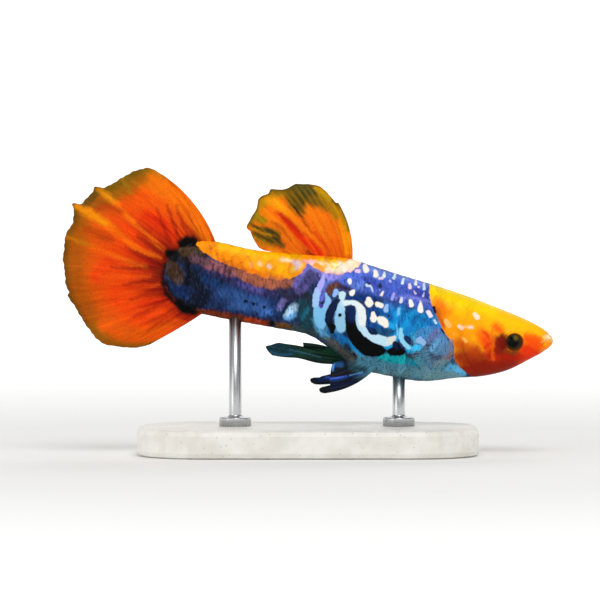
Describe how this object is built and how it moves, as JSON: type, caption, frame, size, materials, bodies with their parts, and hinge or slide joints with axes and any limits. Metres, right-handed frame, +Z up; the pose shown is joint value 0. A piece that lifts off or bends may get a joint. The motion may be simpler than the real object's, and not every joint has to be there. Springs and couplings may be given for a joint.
{
  "type": "fancy guppy display model",
  "caption": "Life-size still model of a male fancy guppy with fanned orange tail and dorsal fins, held level-swimming on two short rods over a plain flat base.",
  "frame": {"origin": "middle of the model on the underside of the stand's base", "axes": "+X towards the snout, +Z up, right flank towards -Y"},
  "size_m": [0.0435, 0.016, 0.0254],
  "materials": {
    "head_skin": "wet-looking orange skin with fine scales",
    "trunk_skin": "iridescent blue scaled skin with black and pale marks",
    "stalk_skin": "dark blue scaled skin, orange along the back",
    "orange_fin": "thin translucent orange web over fin rays",
    "dark_fin": "thin dark web over fin rays",
    "clear_fin": "clear web over fine fin rays",
    "eye": "wet polished eye",
    "base": "satin cast resin",
    "rod": "drawn and polished"
  },
  "bodies": {
    "root": {"head": "head_skin", "trunk": "trunk_skin", "tail_stalk": "stalk_skin", "caudal_fin": "orange_fin", "dorsal_fin": "orange_fin", "gonopodium": "dark_fin", "pelvic_fin_right": "dark_fin", "pelvic_fin_left": "dark_fin", "pectoral_fin_right": "clear_fin", "pectoral_fin_left": "clear_fin", "eye_right": "eye", "eye_left": "eye", "stand_base": "base", "stand_rod_front": "rod", "stand_rod_rear": "rod"}
  },
  "joints": []
}
